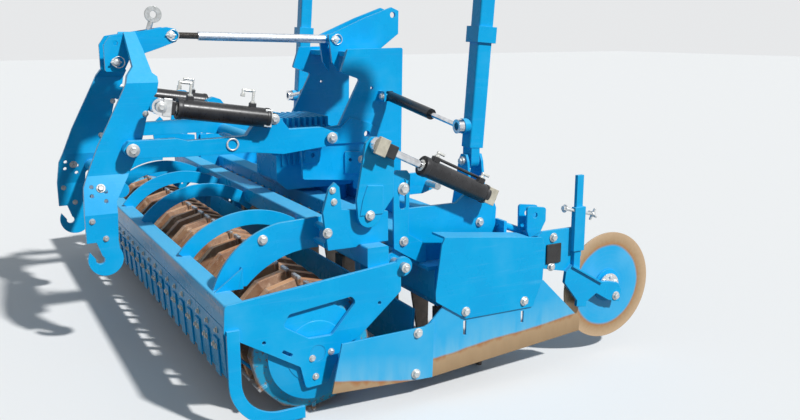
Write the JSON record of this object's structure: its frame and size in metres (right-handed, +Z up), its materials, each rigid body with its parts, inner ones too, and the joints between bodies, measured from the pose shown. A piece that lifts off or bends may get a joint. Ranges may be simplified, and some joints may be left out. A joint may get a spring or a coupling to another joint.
{
  "type": "power harrow",
  "caption": "Tractor-mounted power harrow with ring packer roller, seed drill linkage, folded track markers and side discs.",
  "frame": {"origin": "on the ground under the middle of the machine's overall box", "axes": "+X across the machine to its right side, +Y ahead towards the towing vehicle, +Z up"},
  "size_m": [3.064, 2.28, 2.08],
  "materials": {
    "blue_paint": "gloss enamel",
    "worn_blue": "enamel worn to bare steel at the lower edge",
    "rusted_steel": "rusted and soil-stained",
    "forged_steel": "worn bare steel",
    "black_paint": "satin black",
    "bright_steel": "polished rod",
    "zinc_plate": "zinc plated",
    "disc_steel": "enamel with a bare worn rim"
  },
  "bodies": {
    "harrow": {"gear_trough": "blue_paint", "headstock": "blue_paint", "top_bracket": "blue_paint", "hitch_beam": "blue_paint", "gearbox": "blue_paint", "side_brackets": "blue_paint", "hinge_shaft": "zinc_plate", "slot_links": "blue_paint", "levelling_bar": "blue_paint", "side_shields": "blue_paint", "skid_plates": "worn_blue", "rear_wings": "blue_paint", "shield_arms": "blue_paint", "disc_carriers": "blue_paint", "marker_pedestals": "blue_paint"},
    "rotor_01": {"rotor_01": "forged_steel"},
    "rotor_02": {"rotor_02": "forged_steel"},
    "rotor_03": {"rotor_03": "forged_steel"},
    "rotor_04": {"rotor_04": "forged_steel"},
    "rotor_05": {"rotor_05": "forged_steel"},
    "rotor_06": {"rotor_06": "forged_steel"},
    "rotor_07": {"rotor_07": "forged_steel"},
    "rotor_08": {"rotor_08": "forged_steel"},
    "rotor_09": {"rotor_09": "forged_steel"},
    "rotor_10": {"rotor_10": "forged_steel"},
    "rotor_11": {"rotor_11": "forged_steel"},
    "rotor_12": {"rotor_12": "forged_steel"},
    "input_shaft": {"input_shaft": "bright_steel"},
    "roller_carriage": {"roller_frame": "blue_paint", "roller_end_plates": "blue_paint", "roller_guards": "blue_paint", "scrapers": "blue_paint", "depth_levers": "blue_paint"},
    "packer_roller": {"packer_roller": "rusted_steel"},
    "lift_arms": {"lift_arms": "blue_paint"},
    "hook_frame": {"hook_frame": "blue_paint"},
    "top_link": {"top_link": "zinc_plate"},
    "depth_barrels": {"depth_cylinder_barrels": "black_paint"},
    "depth_rods": {"depth_cylinder_rods": "bright_steel"},
    "lift_barrels": {"lift_cylinder_barrels": "black_paint"},
    "lift_rods": {"lift_cylinder_rods": "bright_steel"},
    "marker_boom_left": {"marker_boom_left": "blue_paint"},
    "marker_disc_left": {"marker_disc_left": "disc_steel"},
    "marker_barrel_left": {"marker_barrel_left": "black_paint"},
    "marker_rod_left": {"marker_rod_left": "bright_steel"},
    "side_disc_left": {"side_disc_left": "disc_steel"},
    "marker_boom_right": {"marker_boom_right": "blue_paint"},
    "marker_disc_right": {"marker_disc_right": "disc_steel"},
    "marker_barrel_right": {"marker_barrel_right": "black_paint"},
    "marker_rod_right": {"marker_rod_right": "bright_steel"},
    "side_disc_right": {"side_disc_right": "disc_steel"}
  },
  "joints": [
    {"name": "rotor_01_spin", "type": "hinge", "parent": "harrow", "child": "rotor_01", "pos_m": [-1.3475, 0.2, 0.3], "axis": [0, 0, 1], "continuous": true},
    {"name": "rotor_02_spin", "type": "hinge", "parent": "harrow", "child": "rotor_02", "pos_m": [-1.1025, 0.2, 0.3], "axis": [0, 0, 1], "continuous": true},
    {"name": "rotor_03_spin", "type": "hinge", "parent": "harrow", "child": "rotor_03", "pos_m": [-0.8575, 0.2, 0.3], "axis": [0, 0, 1], "continuous": true},
    {"name": "rotor_04_spin", "type": "hinge", "parent": "harrow", "child": "rotor_04", "pos_m": [-0.6125, 0.2, 0.3], "axis": [0, 0, 1], "continuous": true},
    {"name": "rotor_05_spin", "type": "hinge", "parent": "harrow", "child": "rotor_05", "pos_m": [-0.3675, 0.2, 0.3], "axis": [0, 0, 1], "continuous": true},
    {"name": "rotor_06_spin", "type": "hinge", "parent": "harrow", "child": "rotor_06", "pos_m": [-0.1225, 0.2, 0.3], "axis": [0, 0, 1], "continuous": true},
    {"name": "rotor_07_spin", "type": "hinge", "parent": "harrow", "child": "rotor_07", "pos_m": [0.1225, 0.2, 0.3], "axis": [0, 0, 1], "continuous": true},
    {"name": "rotor_08_spin", "type": "hinge", "parent": "harrow", "child": "rotor_08", "pos_m": [0.3675, 0.2, 0.3], "axis": [0, 0, 1], "continuous": true},
    {"name": "rotor_09_spin", "type": "hinge", "parent": "harrow", "child": "rotor_09", "pos_m": [0.6125, 0.2, 0.3], "axis": [0, 0, 1], "continuous": true},
    {"name": "rotor_10_spin", "type": "hinge", "parent": "harrow", "child": "rotor_10", "pos_m": [0.8575, 0.2, 0.3], "axis": [0, 0, 1], "continuous": true},
    {"name": "rotor_11_spin", "type": "hinge", "parent": "harrow", "child": "rotor_11", "pos_m": [1.1025, 0.2, 0.3], "axis": [0, 0, 1], "continuous": true},
    {"name": "rotor_12_spin", "type": "hinge", "parent": "harrow", "child": "rotor_12", "pos_m": [1.3475, 0.2, 0.3], "axis": [0, 0, 1], "continuous": true},
    {"name": "input_shaft_spin", "type": "hinge", "parent": "harrow", "child": "input_shaft", "pos_m": [0, 0.3, 0.765], "axis": [0, 1, 0], "continuous": true},
    {"name": "depth_setting", "type": "hinge", "parent": "harrow", "child": "roller_carriage", "pos_m": [0, -0.138, 0.532], "axis": [1, 0, 0], "range_deg": [-4, 14]},
    {"name": "roller_spin", "type": "hinge", "parent": "roller_carriage", "child": "packer_roller", "pos_m": [0, -0.5, 0.25], "axis": [1, 0, 0], "continuous": true},
    {"name": "depth_cylinder_swing", "type": "hinge", "parent": "harrow", "child": "depth_barrels", "pos_m": [0, 0.266, 0.767], "axis": [1, 0, 0], "range_deg": [-2.11, 7.25]},
    {"name": "depth_cylinder_stroke", "type": "slide", "parent": "depth_barrels", "child": "depth_rods", "axis": [0, -0.9041, 0.4274], "range_m": [-0.02648, 0.09145]},
    {"name": "linkage_lift", "type": "hinge", "parent": "harrow", "child": "lift_arms", "pos_m": [0, 0.014, 0.91], "axis": [-1, 0, 0], "range_deg": [0, 35]},
    {"name": "hook_frame_tilt", "type": "hinge", "parent": "lift_arms", "child": "hook_frame", "pos_m": [0, -0.924, 0.912], "axis": [1, 0, 0], "range_deg": [-0.05, 32.42]},
    {"name": "top_link_swing", "type": "hinge", "parent": "harrow", "child": "top_link", "pos_m": [0, 0.222, 1.372], "axis": [-1, 0, 0], "range_deg": [-0.05, 37.85]},
    {"name": "lift_cylinder_swing", "type": "hinge", "parent": "lift_arms", "child": "lift_barrels", "pos_m": [0, -0.3, 1.022], "axis": [1, 0, 0], "range_deg": [-1.8, 0.05]},
    {"name": "lift_cylinder_stroke", "type": "slide", "parent": "lift_barrels", "child": "lift_rods", "axis": [0, -0.9887, 0.1499], "range_m": [0, 0.12108]},
    {"name": "marker_fold_left", "type": "hinge", "parent": "harrow", "child": "marker_boom_left", "pos_m": [-1.024, 0.455, 0.842], "axis": [0, -1, 0], "range_deg": [0, 100]},
    {"name": "marker_disc_spin_left", "type": "hinge", "parent": "marker_boom_left", "child": "marker_disc_left", "pos_m": [-1.324, 0.5426, 2.01], "axis": [0, 0, 1], "continuous": true},
    {"name": "marker_cylinder_swing_left", "type": "hinge", "parent": "harrow", "child": "marker_barrel_left", "pos_m": [-0.372, 0.386, 1.09], "axis": [0, -1, 0], "range_deg": [-0.05, 9.64]},
    {"name": "marker_cylinder_stroke_left", "type": "slide", "parent": "marker_barrel_left", "child": "marker_rod_left", "axis": [-0.9906, 0, -0.1367], "range_m": [0, 0.20994]},
    {"name": "side_disc_spin_left", "type": "hinge", "parent": "harrow", "child": "side_disc_left", "pos_m": [-1.46, 0.9, 0.305], "axis": [1, 0, 0], "continuous": true},
    {"name": "marker_fold_right", "type": "hinge", "parent": "harrow", "child": "marker_boom_right", "pos_m": [1.024, 0.455, 0.842], "axis": [0, 1, 0], "range_deg": [0, 100]},
    {"name": "marker_disc_spin_right", "type": "hinge", "parent": "marker_boom_right", "child": "marker_disc_right", "pos_m": [1.324, 0.5426, 2.01], "axis": [0, 0, 1], "continuous": true},
    {"name": "marker_cylinder_swing_right", "type": "hinge", "parent": "harrow", "child": "marker_barrel_right", "pos_m": [0.372, 0.386, 1.09], "axis": [0, 1, 0], "range_deg": [-0.05, 9.64]},
    {"name": "marker_cylinder_stroke_right", "type": "slide", "parent": "marker_barrel_right", "child": "marker_rod_right", "axis": [0.9906, 0, -0.1367], "range_m": [0, 0.20994]},
    {"name": "side_disc_spin_right", "type": "hinge", "parent": "harrow", "child": "side_disc_right", "pos_m": [1.46, 0.9, 0.305], "axis": [1, 0, 0], "continuous": true}
  ],
  "couplings": [
    {"joint": "rotor_02_spin", "follows": "rotor_01_spin", "ratio": -1},
    {"joint": "rotor_03_spin", "follows": "rotor_01_spin", "ratio": 1},
    {"joint": "rotor_04_spin", "follows": "rotor_01_spin", "ratio": -1},
    {"joint": "rotor_05_spin", "follows": "rotor_01_spin", "ratio": 1},
    {"joint": "rotor_06_spin", "follows": "rotor_01_spin", "ratio": -1},
    {"joint": "rotor_07_spin", "follows": "rotor_01_spin", "ratio": 1},
    {"joint": "rotor_08_spin", "follows": "rotor_01_spin", "ratio": -1},
    {"joint": "rotor_09_spin", "follows": "rotor_01_spin", "ratio": 1},
    {"joint": "rotor_10_spin", "follows": "rotor_01_spin", "ratio": -1},
    {"joint": "rotor_11_spin", "follows": "rotor_01_spin", "ratio": 1},
    {"joint": "rotor_12_spin", "follows": "rotor_01_spin", "ratio": -1},
    {"joint": "input_shaft_spin", "follows": "rotor_01_spin", "ratio": 3},
    {"joint": "depth_cylinder_swing", "follows": "depth_setting", "ratio": 0.5146},
    {"joint": "depth_cylinder_stroke", "follows": "depth_setting", "m_per_rad": 0.3722},
    {"joint": "hook_frame_tilt", "follows": "linkage_lift", "ratio": 0.925},
    {"joint": "top_link_swing", "follows": "linkage_lift", "ratio": 1.08},
    {"joint": "lift_cylinder_swing", "follows": "linkage_lift", "ratio": -0.05},
    {"joint": "lift_cylinder_stroke", "follows": "linkage_lift", "m_per_rad": 0.1974},
    {"joint": "marker_cylinder_swing_left", "follows": "marker_fold_left", "ratio": 0.0959},
    {"joint": "marker_cylinder_stroke_left", "follows": "marker_fold_left", "m_per_rad": 0.12},
    {"joint": "marker_cylinder_swing_right", "follows": "marker_fold_right", "ratio": 0.0959},
    {"joint": "marker_cylinder_stroke_right", "follows": "marker_fold_right", "m_per_rad": 0.12}
  ]
}
